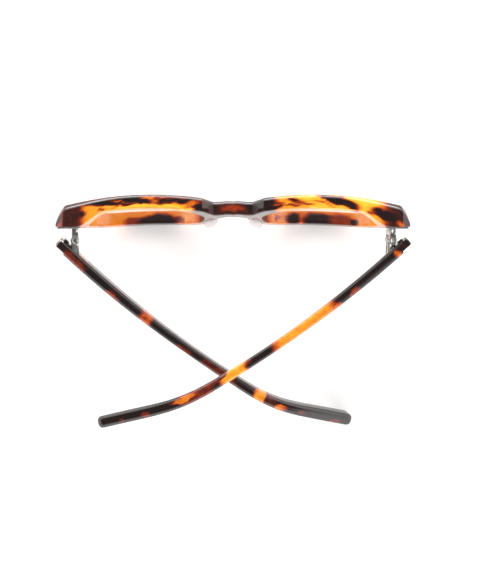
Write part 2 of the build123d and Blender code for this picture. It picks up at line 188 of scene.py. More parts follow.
# ---------------------------------------------------------------------------
# shader graphs
# ---------------------------------------------------------------------------
class Signal:
    """A shader socket that takes part in arithmetic."""

    def __init__(self, graph: "Graph", socket: bpy.types.NodeSocket) -> None:
        """Keeps the graph and the socket."""
        self.graph = graph
        self.socket = socket

    def _math(self, operation: str, first: "Value", second: "Value" = 0.0) -> "Signal":
        """Adds one Math node."""
        return self.graph.node("Math", {"operation": operation}, {0: first, 1: second})

    def __add__(self, other: "Value") -> "Signal":
        """Sum."""
        return self._math("ADD", self, other)

    __radd__ = __add__

    def __sub__(self, other: "Value") -> "Signal":
        """Difference."""
        return self._math("SUBTRACT", self, other)

    def __rsub__(self, other: "Value") -> "Signal":
        """Difference from a number."""
        return self._math("SUBTRACT", other, self)

    def __mul__(self, other: "Value") -> "Signal":
        """Product."""
        return self._math("MULTIPLY", self, other)

    __rmul__ = __mul__

    def out(self, name: str) -> "Signal":
        """Another output of the same node."""
        return Signal(self.graph, self.socket.node.outputs[name])

    def between(self, low: float, high: float) -> "Signal":
        """Smooth step from 0 at low to 1 at high."""
        settings = {"interpolation_type": "SMOOTHSTEP"}
        return self.graph.node("MapRange", settings, {0: self, 1: low, 2: high, 3: 0.0, 4: 1.0})


Value = Union[Signal, float, int, Sequence[float]]


class Graph:
    """Node tree of one material or world."""

    def __init__(self, tree: bpy.types.NodeTree) -> None:
        """Starts from an empty tree."""
        self.tree = tree
        tree.nodes.clear()

    def node(self, kind: str, settings: Optional[dict] = None,
             inputs: Optional[dict] = None) -> Signal:
        """Adds one node: its settings first, then its sockets.

        Args:
            kind: node type without its ShaderNode prefix.
            settings: node properties; "stops" holds a ramp's stops.
            inputs: values or signals by socket name or index.

        Returns:
            The node's first output that is in use.
        """
        made = self.tree.nodes.new("ShaderNode" + kind)
        for key, value in (settings or {}).items():
            if key == "stops":
                self._stops(made.color_ramp, value)
            else:
                setattr(made, key, value)
        for key, value in (inputs or {}).items():
            socket = made.inputs[key]
            if isinstance(value, Signal):
                self.tree.links.new(value.socket, socket)
            else:
                socket.default_value = value
        shown = [s for s in made.outputs if s.enabled] or [None]
        return Signal(self, shown[0])

    @staticmethod
    def _stops(ramp: bpy.types.ColorRamp, stops: Sequence[tuple[float, Colour]]) -> None:
        """Fills a colour ramp."""
        while len(ramp.elements) > 1:
            ramp.elements.remove(ramp.elements[-1])
        ramp.elements[0].position, ramp.elements[0].color = stops[0]
        for position, colour in stops[1:]:
            ramp.elements.new(position).color = colour

    def object_mm(self, stretch: tuple[float, float, float] = (1, 1, 1)) -> Signal:
        """Object coordinates in millimetres, stretched along each axis."""
        spot = self.node("TexCoord").out("Object")
        scale = tuple(s / MM for s in stretch)
        return self.node("Mapping", {}, {"Vector": spot, "Scale": scale})

    def noise(self, place: Signal, scale: float, detail: float = 3.0,
              distortion: float = 0.0) -> Signal:
        """Noise about 0, from -0.5 to 0.5."""
        made = self.node("TexNoise", {}, {"Vector": place, "Scale": scale, "Detail": detail,
                                          "Distortion": distortion})
        return made - 0.5

    def bump(self, height: Signal, strength: float, distance_mm: float) -> Signal:
        """Surface normal from a height."""
        return self.node("Bump", {}, {"Height": height, "Strength": strength,
                                      "Distance": distance_mm * MM})


class Finish:
    """A surface finish. Each kind builds its own material once."""

    def build(self) -> bpy.types.Material:
        """Makes the material."""
        made = bpy.data.materials.new(self.title())
        made.use_nodes = True
        graph = Graph(made.node_tree)
        surface = self.surface(graph)
        graph.node("OutputMaterial", {}, {"Surface": surface})
        return made

    def title(self) -> str:
        """Name of the material."""
        return type(self).__name__

    def surface(self, graph: Graph) -> Signal:
        """The finish's shader."""
        raise NotImplementedError


@dataclass(frozen=True)
class Tortoiseshell(Finish):
    """Polished acetate: amber ground with brown patches, painted as a tone from 0 to 1."""

    name: str
    fine: float = 0.16               # small wandering of the patch edges
    streak: float = 0.10             # long soft streaks in the sheet
    roughness: float = 0.07
    glow: float = 0.05               # painted glow: emission on the amber parts that stands in for light coming through them

    def title(self) -> str:
        """Name of the material."""
        return self.name

    @staticmethod
    def stops() -> list[tuple[float, Colour]]:
        """Colours from the darkest patch to the clearest amber."""
        return [(0.00, linear(18, 10, 9)), (0.16, linear(36, 16, 13)),
                (0.30, linear(82, 26, 14)), (0.42, linear(134, 42, 14)),
                (0.54, linear(180, 76, 16)), (0.68, linear(206, 116, 26)),
                (0.84, linear(222, 148, 34)), (1.00, linear(236, 184, 54))]

    def surface(self, graph: Graph) -> Signal:
        """Clear-coated acetate; its amber parts carry a painted glow that stands in for light
        coming through them.
        """
        tone = graph.node("Attribute", {"attribute_name": "tone"}).out("Fac")
        wander = graph.noise(graph.object_mm(), 0.55, 5.0, 0.8)
        long = graph.noise(graph.object_mm((0.25, 1.0, 1.0)), 0.9, 3.0, 1.2)
        level = tone + wander * self.fine + long * self.streak
        colour = graph.node("ValToRGB", {"stops": self.stops()}, {"Fac": level})
        # painted glow: the amber parts emit a warm copy of their own colour, standing in for
        # light through the sheet
        amber = level.between(0.42, 0.95)
        clear = graph.node("Mix", {"data_type": "RGBA", "blend_type": "MULTIPLY"},
                                  {"Factor": 1.0, 6: colour, 7: (1.0, 0.86, 0.7, 1.0)})
        light = graph.node("Mix", {"data_type": "RGBA"},
                           {"Factor": amber, 6: (0.0, 0.0, 0.0, 1.0), 7: clear.out("Result")})
        ripple = graph.noise(graph.object_mm(), 0.22, 2.0)
        scuffs = graph.noise(graph.object_mm((0.3, 2.0, 2.0)), 3.0, 4.0)
        rough = self.roughness + (ripple + scuffs) * 0.05
        return graph.node("BsdfPrincipled", {}, {
            "Base Color": colour, "Roughness": rough, "IOR": 1.49,
            "Coat Weight": 0.2, "Coat Roughness": 0.03,
            "Emission Color": light.out("Result"), "Emission Strength": self.glow,
            "Normal": graph.bump(ripple, 0.10, 0.25)})


@dataclass(frozen=True)
class ClearPad(Finish):
    """Greyish see-through pad acetate."""

    clear: float = 0.72

    def surface(self, graph: Graph) -> Signal:
        """Half clear, half milky gloss."""
        cloud = graph.noise(graph.object_mm(), 0.45, 3.0)
        colour = graph.node("ValToRGB", {"stops": [(0.0, linear(206, 198, 196)),
                                                   (1.0, linear(232, 228, 226))]},
                            {"Fac": cloud + 0.5})
        body = graph.node("BsdfPrincipled", {}, {
            "Base Color": colour, "Roughness": 0.12 + cloud * 0.06, "IOR": 1.49,
            "Coat Weight": 0.4, "Coat Roughness": 0.05,
            "Normal": graph.bump(cloud, 0.08, 0.2)})
        through = graph.node("BsdfTransparent", {}, {"Color": (0.92, 0.90, 0.89, 1.0)})
        rim = graph.node("LayerWeight", {}, {"Blend": 0.35}).out("Facing")
        share = (1.0 - rim) * self.clear + cloud * 0.1
        return graph.node("MixShader", {}, {0: share, 1: body, 2: through})


@dataclass(frozen=True)
class ClearLens(Finish):
    """Clear lens with a faint edge and a polished face."""

    def surface(self, graph: Graph) -> Signal:
        """Mostly clear, with gloss that grows at a flat angle."""
        haze = graph.noise(graph.object_mm(), 0.05, 2.0)
        gloss = graph.node("BsdfPrincipled", {}, {
            "Base Color": (0.86, 0.88, 0.89, 1.0), "Roughness": 0.04 + haze * 0.03,
            "IOR": 1.5, "Coat Weight": 0.5, "Coat Roughness": 0.02,
            "Normal": graph.bump(haze, 0.05, 0.2)})
        through = graph.node("BsdfTransparent", {}, {"Color": (0.975, 0.98, 0.98, 1.0)})
        rim = graph.node("Fresnel", {}, {"IOR": 1.45})
        share = rim * 0.02 + 0.004
        return graph.node("MixShader", {}, {0: share, 1: through, 2: gloss})


@dataclass(frozen=True)
class Metal(Finish):
    """Plated or turned metal with fine wear."""

    name: str
    light: Colour
    dark: Colour
    roughness: float
    grain: float                     # depth of the fine lines
    grain_stretch: tuple[float, float, float] = (1.0, 1.0, 1.0)

    def title(self) -> str:
        """Name of the material."""
        return self.name

    def surface(self, graph: Graph) -> Signal:
        """Metal whose tone and gloss wander a little."""
        cloud = graph.noise(graph.object_mm(), 0.8, 4.0)
        lines = graph.noise(graph.object_mm(self.grain_stretch), 9.0, 3.0)
        worn = (cloud + 0.5).between(0.25, 0.75)
        colour = graph.node("Mix", {"data_type": "RGBA"},
                            {"Factor": worn, 6: self.dark, 7: self.light})
        rough = self.roughness + cloud * 0.10 + lines * 0.08
        return graph.node("BsdfPrincipled", {}, {
            "Base Color": colour.out("Result"), "Metallic": 1.0, "Roughness": rough,
            "Normal": graph.bump(lines, self.grain, 0.03)})


@dataclass(frozen=True)
class PaleSweep(Finish):
    """Matt white card under the glasses."""

    def surface(self, graph: Graph) -> Signal:
        """Near-white with a trace of paper tooth."""
        tooth = graph.noise(graph.object_mm(), 0.12, 4.0)
        colour = graph.node("ValToRGB", {"stops": [(0.0, (0.955, 0.952, 0.95, 1.0)),
                                                   (1.0, (0.975, 0.974, 0.973, 1.0))]},
                            {"Fac": tooth + 0.5})
        return graph.node("BsdfPrincipled", {}, {
            "Base Color": colour, "Roughness": 0.9, "Specular IOR Level": 0.1})


# ---------------------------------------------------------------------------
# tortoiseshell pattern
# ---------------------------------------------------------------------------
@dataclass(frozen=True)
class Patch:
    """A soft-edged patch of one tone."""

    tone: float
    centre: tuple[float, float, float]
    radii: tuple[float, float, float]
    turn: float = 0.0                # degrees, in the plane of the first two
    soft: float = 0.35

    def cover(self, place: Vector) -> float:
        """How much of the patch lies at a place.

        Args:
            place: pattern coordinates.

        Returns:
            From 0 outside to 1 inside.
        """
        gap = place - Vector(self.centre)
        if abs(gap[0]) > 2.2 * max(self.radii[0], self.radii[1]):
            return 0.0
        c, s = math.cos(math.radians(self.turn)), math.sin(math.radians(self.turn))
        along, across = gap[0] * c + gap[1] * s, gap[1] * c - gap[0] * s
        reach = math.sqrt((along / self.radii[0]) ** 2 + (across / self.radii[1]) ** 2
                          + (gap[2] / self.radii[2]) ** 2)
        return 1 - smooth(reach, 1 - self.soft, 1 + self.soft)


@dataclass(frozen=True)
class Pattern:
    """Ground tone with patches laid over it in order."""

    ground: Callable[[Vector], float]
    patches: tuple[Patch, ...]
    wander: float = 0.9              # how far patch edges stray
    grain: float = 0.28              # size of the straying, per millimetre
    seed: float = 3.7

    def tone(self, place: Vector) -> float:
        """Tone at a place in pattern coordinates.

        Args:
            place: pattern coordinates.

        Returns:
            From 0, dark, to 1, clear amber.
        """
        stray = noise.noise_vector(place * self.grain + Vector((self.seed, 0, 0)))
        stray += noise.noise_vector(place * (self.grain * 2.6)) * 0.45
        spot = place + stray * self.wander
        level = self.ground(spot)
        for patch in self.patches:
            level = mix(level, patch.tone, patch.cover(spot))
        return level


# ---------------------------------------------------------------------------
# meshes
# ---------------------------------------------------------------------------
class Shaper:
    """Common steps in bmesh."""

    @staticmethod
    def loop(bm: bmesh.types.BMesh, points: Iterable[Vector]) -> list[bmesh.types.BMEdge]:
        """Closed loop of edges through the points."""
        verts = [bm.verts.new(p) for p in points]
        return [bm.edges.new((verts[i - 1], verts[i])) for i in range(len(verts))]

    @staticmethod
    def prism(bm: bmesh.types.BMesh, outline: Sequence[Pair], low: float,
              high: float) -> list[bmesh.types.BMVert]:
        """Prism of an outline in the XY plane.

        Args:
            bm: mesh that receives it.
            outline: points of the outline.
            low: bottom level.
            high: top level.

        Returns:
            All vertices of the prism.
        """
        base = [bm.verts.new((x, y, low)) for x, y in outline]
        face = bmesh.ops.contextual_create(bm, geom=base)["faces"]
        top = bmesh.ops.extrude_face_region(bm, geom=face)["geom"]
        raised = [g for g in top if isinstance(g, bmesh.types.BMVert)]
        bmesh.ops.translate(bm, vec=(0, 0, high - low), verts=raised)
        return base + raised

    @staticmethod
    def merge(bm: bmesh.types.BMesh, part: bmesh.types.BMesh) -> None:
        """Adds a finished part to a mesh and frees the part."""
        mesh = bpy.data.meshes.new("part")
        part.to_mesh(mesh)
        part.free()
        bm.from_mesh(mesh)
        bpy.data.meshes.remove(mesh)

    @staticmethod
    def mirror(bm: bmesh.types.BMesh) -> None:
        """Turns a left-hand mesh into a right-hand one."""
        bmesh.ops.scale(bm, vec=(-1, 1, 1), verts=bm.verts)
        bmesh.ops.reverse_faces(bm, faces=bm.faces)

    @staticmethod
    def everything(bm: bmesh.types.BMesh) -> list[object]:
        """All vertices, edges and faces."""
        return list(bm.verts) + list(bm.edges) + list(bm.faces)

    @staticmethod
    def turned(profile: Sequence[Pair], steps: int) -> bmesh.types.BMesh:
        """Solid of revolution about Z.

        Args:
            profile: radius and height, from one end on the axis to the other.
            steps: divisions of the full turn.

        Returns:
            The mesh.
        """
        bm = bmesh.new()
        verts = [bm.verts.new((x, 0, z)) for x, z in profile]
        edges = [bm.edges.new(pair) for pair in zip(verts, verts[1:])]
        bmesh.ops.spin(bm, geom=verts + edges, axis=(0, 0, 1), cent=(0, 0, 0),
                       angle=math.tau, steps=steps, use_merge=True)
        return bm

    @staticmethod
    def soften(bm: bmesh.types.BMesh, width: float, segments: int = 2,
               angle: float = 30.0) -> None:
        """Bevels every edge that is sharper than an angle."""
        bmesh.ops.recalc_face_normals(bm, faces=bm.faces)
        sharp = [e for e in bm.edges if e.is_manifold
                 and e.calc_face_angle(0.0) > math.radians(angle)]
        bmesh.ops.bevel(bm, geom=sharp, offset=width, offset_type="OFFSET", affect="EDGES",
                        segments=segments, profile=0.5, material=-1, clamp_overlap=True)

    @staticmethod
    def ring(radius: float, count: int, start: float = 0.0, end: float = 360.0) -> list[Pair]:
        """Points on an arc in the XY plane."""
        full = abs(end - start) >= 360
        steps = count if full else count - 1
        angles = [math.radians(start + (end - start) * i / steps) for i in range(count)]
        return [(radius * math.cos(a), radius * math.sin(a)) for a in angles]

    @staticmethod
    def rounded(width: float, height: float, radius: float, steps: int,
                edge_steps: int = 1) -> list[Pair]:
        """Rounded rectangle, counter-clockwise from the right side's foot.

        Args:
            width: full width.
            height: full height.
            radius: corner radius.
            steps: points on each corner.
            edge_steps: divisions of each straight side.

        Returns:
            Outline points.
        """
        def span(start: Pair, end: Pair) -> list[Pair]:
            """Points between two corners."""
            shares = [i / edge_steps for i in range(1, edge_steps)]
            return [(mix(start[0], end[0], k), mix(start[1], end[1], k)) for k in shares]

        points: list[Pair] = []
        corners = ((1, 1, 0), (-1, 1, 90), (-1, -1, 180), (1, -1, 270))
        for sx, sy, start in corners:
            cx, cy = sx * (width / 2 - radius), sy * (height / 2 - radius)
            arc = [(cx + x, cy + y) for x, y in Shaper.ring(radius, steps, start, start + 90)]
            points += (span(points[-1], arc[0]) if points else []) + arc
        return points + span(points[-1], points[0])


@dataclass
class SubAssembly:
    """A group of pieces that belong together."""

    made: list[str] = field(default_factory=list, init=False)

    def piece(self, bm: bmesh.types.BMesh, name: str, place: Matrix, node: str, slot: Slot,
              material: bpy.types.Material, sharp: Optional[float] = 35.0) -> bpy.types.Object:
        """Turns a mesh into a finished piece that stands for a CAD node.

        Args:
            bm: mesh in millimetres, in its own frame.
            name: piece name.
            place: from its own frame to the world, in millimetres.
            node: CAD node that it replaces and whose body it rides on.
            slot: material slot of the record; not used.
            material: its finish.
            sharp: edges sharper than this many degrees stay crisp.

        Returns:
            The finished object.
        """
        bmesh.ops.remove_doubles(bm, verts=bm.verts, dist=WELD)
        bmesh.ops.transform(bm, matrix=Matrix.Scale(MM, 4) @ place, verts=bm.verts)
        bmesh.ops.recalc_face_normals(bm, faces=bm.faces)
        mesh = bpy.data.meshes.new(name)
        bm.to_mesh(mesh)
        bm.free()
        mesh.shade_smooth()
        if sharp is not None:
            mesh.set_sharp_from_angle(angle=math.radians(sharp))
        mesh.materials.append(material)
        made = bpy.data.objects.new(name, mesh)
        bpy.context.scene.collection.objects.link(made)
        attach(made, body_of(node))
        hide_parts(node)
        self.made.append(name)
        LOG.info("%s: %d faces on %s", name, len(mesh.polygons), body_of(node))
        return made

    def dress(self, node: str, material: bpy.types.Material) -> None:
        """Gives a CAD node a finish and keeps its shape."""
        mesh = frame["nodes"][node].data
        mesh.materials.clear()
        mesh.materials.append(material)
        self.made.append(node)
        LOG.info("%s: kept from the CAD model", node)


def body_of(node: str) -> str:
    """CAD body that a node belongs to."""
    groups = frame["record"]["behaviour"]["bodies"]
    return next(body for body, nodes in groups.items() if node in nodes)


# ---------------------------------------------------------------------------
# front frame
# ---------------------------------------------------------------------------
@dataclass
class FrontFrame(SubAssembly):
    """The one-piece acetate front with its bridge and end pieces."""

    half: float = 71.0
    eye: Pair = (36.5, 21.8)
    eye_half: Pair = (25.3, 17.5)
    eye_power: float = 2.55
    eye_taper: float = 0.055
    rim_side: float = 3.9
    rim_low: float = 4.3
    crown: float = 36.3              # bridge top at the middle
    bridge: Pair = (7.8, 35.6)       # where the slanted facet starts
    brow_nose: Pair = (12.2, 41.2)
    brow_top: Pair = (36.5, 43.4)
    brow_side: Pair = (67.8, 40.4)
    corner_low: Pair = (71.0, 37.0)
    side_low: Pair = (71.0, 27.0)
    foot: Pair = (64.9, 21.8)
    arch: Pair = (5.02, 27.3)
    arch_top: float = 29.9
    thick: float = 5.6
    base_radius: float = 168.0
    curve_x: float = 31.0
    bulge: float = 1.3
    bulge_half: float = 8.0
    corner: Pair = (4.6, 4.0)        # rounded front corner, along X and back
    end_span: Pair = (51.0, 63.5)
    end_back: float = 13.2
    slope: tuple[float, float] = (19.4, 24.4)
    trim_from: float = 60.9
    trim_face: float = 11.36
    trim_half: float = 5.61
    flat_back: tuple[float, float, float] = (52.0, 12.18, 15.0)
    bevel: Pair = (0.85, 1.25)       # front edge: down the face, and back
    back_round: float = 0.55
    eye_round: float = 0.5
    grid: float = 0.9
    wall_steps: int = 12

    def eye_point(self, angle: float, grow_x: float = 0.0, grow_z: float = 0.0) -> Pair:
        """Point on the lens shape, grown outward."""
        c, s = math.cos(math.radians(angle)), math.sin(math.radians(angle))
        power = 2 / self.eye_power
        x = (self.eye_half[0] + grow_x) * math.copysign(abs(c) ** power, c)
        z = (self.eye_half[1] + grow_z) * math.copysign(abs(s) ** power, s)
        taper = 1 + self.eye_taper * (z / self.eye_half[1] - 1) / 2
        return self.eye[0] + x * taper, self.eye[1] + z

    def brow(self, x: float) -> float:
        """Height of the brow line."""
        knots = (self.brow_nose, self.brow_top, self.brow_side)
        return sum(z * math.prod((x - b) / (a - b) for b, _ in knots if b != a)
                   for a, z in knots)

    def half_outline(self) -> list[Pair]:
        """Front view outline from the bridge's top round to its underside."""
        points = [(self.bridge[0] * i / 7, self.crown - (self.crown - self.bridge[1])
                   * (i / 7) ** 2) for i in range(8)]
        points += self.run(self.bridge, self.brow_nose, 5)
        span = self.brow_side[0] - self.brow_nose[0]
        count = 48
        points += [(self.brow_nose[0] + span * i / count,
                    self.brow(self.brow_nose[0] + span * i / count))
                   for i in range(1, count + 1)]
        points += self.run(self.brow_side, self.corner_low, 3)
        points += self.run(self.corner_low, self.side_low, 8)
        points += self.run(self.side_low, self.foot, 6)
        rim = [self.eye_point(a, self.rim_side, self.rim_low) for a in range(352, 180, -4)]
        points += rim + [self.eye_point(181, self.rim_side, self.rim_low)]
        nose, start = self.arch, (0.0, self.arch_top)
        last = points[-1]
        for i in range(1, 8):
            t = i / 8
            u = 1 - t
            points.append((u * u * last[0] + 2 * u * t * (nose[0] + 1.5) + t * t * start[0],
                           u * u * last[1] + 2 * u * t * (nose[1] + 1.9) + t * t * start[1]))
        return points + [start]

    @staticmethod
    def run(start: Pair, end: Pair, count: int) -> list[Pair]:
        """Points along a line, without its start."""
        return [(mix(start[0], end[0], i / count), mix(start[1], end[1], i / count))
                for i in range(1, count + 1)]

    def outline(self) -> list[Pair]:
        """Whole outline, clockwise seen from the front's X to the right."""
        half = self.half_outline()
        return half + [(-x, z) for x, z in reversed(half[1:-1])]

    def front_y(self, x: float) -> float:
        """Front surface behind its most forward line."""
        x = abs(x)
        base = (x - self.curve_x) ** 2 / (2 * self.base_radius)
        base -= self.bulge * (1 - smooth(x, 0, self.bulge_half))
        run = x - (self.half - self.corner[0])
        if run > 0:
            base += self.corner[1] * (run / self.corner[0]) ** 1.9
        return base

    def back_y(self, x: float, z: float) -> float:
        """Back surface, thicker at the end pieces above their sloped underside."""
        x = abs(x)
        base = (x - self.curve_x) ** 2 / (2 * self.base_radius)
        base -= self.bulge * (1 - smooth(x, 0, self.bulge_half))
        plain = base + self.thick
        full = plain + (self.end_back - plain) * smooth(x, *self.end_span)
        low, high = self.slope
        room = mix(self.thick, self.end_back, min(1.0, max(0.0, (z - low) / (high - low))))
        return min(full, max(plain, room))

    @staticmethod
    def inset(points: Sequence[Pair], widths: Sequence[float], inward: float) -> list[Pair]:
        """Loop moved sideways by a width at each point."""
        moved, count = [], len(points)
        for i, (x, z) in enumerate(points):
            before, after = Vector(points[i - 1]), Vector(points[(i + 1) % count])
            here = Vector((x, z))
            a, b = (here - before).normalized(), (after - here).normalized()
            na, nb = Vector((-a.y, a.x)), Vector((-b.y, b.x))
            n = (na + nb).normalized()
            n = n / max(0.6, n.dot(na))
            moved.append((x + n.x * widths[i] * inward, z + n.y * widths[i] * inward))
        return moved

    def end_gain(self, x: float) -> float:
        """The front bevel widens towards the end pieces."""
        return 1 + 0.55 * smooth(abs(x), 44, 66)

    def stations(self, outer: bool) -> list[tuple[float, float, float, float]]:
        """Loops from the front sheet over the edge to the back sheet.

        Args:
            outer: the outline's edge, or a lens opening's.

        Returns:
            Rows of inset, offset behind the front, offset before the back, and share.
        """
        rows: list[tuple[float, float, float, float]] = []
        if outer:
            a, b = self.bevel
            profile = [(1.22, 0.0), (1.0, 0.02), (0.84, 0.13), (0.5, 0.48), (0.16, 0.84),
                       (0.03, 1.02), (0.0, 1.18)]
            rows += [(d * a, f * b, 0.0, 0.0) for d, f in profile]
            first, r = profile[-1][1] * b, self.back_round
        else:
            r = self.eye_round
            arc = [(1 - math.cos(math.radians(p)), 1 - math.sin(math.radians(p)))
                   for p in (90, 60, 30, 0)]
            rows += [(r * 1.35, 0.0, 0.0, 0.0)] + [(r * d, r * f, 0.0, 0.0) for d, f in arc]
            first = r
        steps = self.wall_steps
        rows += [(0.0, first, r, i / steps) for i in range(1, steps)]
        arc = [(1 - math.cos(math.radians(p)), 1 - math.sin(math.radians(p)))
               for p in (0, 30, 60, 90)]
        rows += [(r * d, 0.0, r * f, 1.0) for d, f in arc] + [(r * 1.35, 0.0, 0.0, 1.0)]
        return rows

    def shell(self) -> bmesh.types.BMesh:
        """Closed front: edges by bridged loops, faces filled and cut into a fine grid."""
        bm = bmesh.new()
        fore = bm.verts.layers.float.new("fore")
        aft = bm.verts.layers.float.new("aft")
        share = bm.verts.layers.float.new("share")
        right_eye = [self.eye_point(a) for a in range(0, 360, 4)]
        left_eye = [(-x, z) for x, z in right_eye]
        borders = [(self.outline(), 1.0, True), (right_eye, 1.0, False),
                   (left_eye, -1.0, False)]
        front_ends: list[bmesh.types.BMEdge] = []
        back_ends: list[bmesh.types.BMEdge] = []
        for points, hand, outer in borders:
            area = sum(points[i - 1][0] * p[1] - p[0] * points[i - 1][1]
                       for i, p in enumerate(points))
            inward = math.copysign(1.0, area) * (1.0 if outer else -1.0)
            loops = []
            for depth, f, g, t in self.stations(outer):
                gain = [self.end_gain(x) if outer and t == 0 else 1.0 for x, _ in points]
                spots = self.inset(points, [depth * k for k in gain], inward)
                edges = Shaper.loop(bm, [Vector((x, 0, z)) for x, z in spots])
                for i, edge in enumerate(edges):
                    vert = edge.verts[1]
                    k = self.end_gain(points[i][0]) if outer else 1.0
                    vert[fore], vert[aft], vert[share] = f * k, g, t
                loops.append(edges)
            for one, two in zip(loops, loops[1:]):
                bmesh.ops.bridge_loops(bm, edges=one + two)
            front_ends += loops[0]
            back_ends += loops[-1]
        sheets = []
        for edges in (front_ends, back_ends):
            sheets += bmesh.ops.triangle_fill(bm, use_beauty=True, edges=edges)["geom"]
        faces = [g for g in sheets if isinstance(g, bmesh.types.BMFace)]
        cuts = [(Vector((i * self.grid, 0, 0)), Vector((1, 0, 0)))
                for i in range(-int(self.half / self.grid), int(self.half / self.grid) + 1)]
        cuts += [(Vector((s * (self.trim_from + k), 0, 0)), Vector((1, 0, 0)))
                 for s in (-1, 1) for k in (-0.03, 0.03)]
        cuts += [(Vector((0, 0, i * self.grid)), Vector((0, 0, 1))) for i in range(1, 49)]
        for spot, normal in cuts:
            geom = list({e for f in faces for e in f.edges}
                        | {v for f in faces for v in f.verts}) + faces
            cut = bmesh.ops.bisect_plane(bm, geom=geom, plane_co=spot, plane_no=normal,
                                         dist=0.0002)
            faces = [g for g in cut["geom"] if isinstance(g, bmesh.types.BMFace)]
        for vert in bm.verts:
            x, z, t = vert.co.x, vert.co.z, vert[share]
            near = self.front_y(x) + vert[fore]
            far = max(near + 0.3, self.back_y(x, z) - vert[aft])
            vert.co.y = mix(near, far, t) if t < 1 else far
        return bm

    def lean(self, bm: bmesh.types.BMesh) -> None:
        """Leans the front and cuts the end pieces' backs for the metal trims."""
        bmesh.ops.transform(bm, matrix=PLACES.lean_front(), verts=bm.verts)
        start, face, high = self.flat_back
        for vert in bm.verts:
            out, up = abs(vert.co.x), abs(vert.co.z - PLACES.hinge_z)
            if out > start and up < high:
                vert.co.y = min(vert.co.y, face)
            if out > self.trim_from and vert.co.z > PLACES.hinge_z - self.trim_half:
                vert.co.y = min(vert.co.y, self.trim_face)

    def build(self, material: bpy.types.Material, pattern: Pattern) -> None:
        """Makes the front and paints its tones."""
        bm = self.shell()
        tone = bm.verts.layers.float.new("tone")
        for vert in bm.verts:
            depth = vert.co.y - self.front_y(vert.co.x)
            vert[tone] = pattern.tone(Vector((vert.co.x, depth, vert.co.z)))
        self.lean(bm)
        self.piece(bm, "front_acetate", PLACES.straight(), "front_frame", Slot.TORTOISE,
                   material, 28.0)


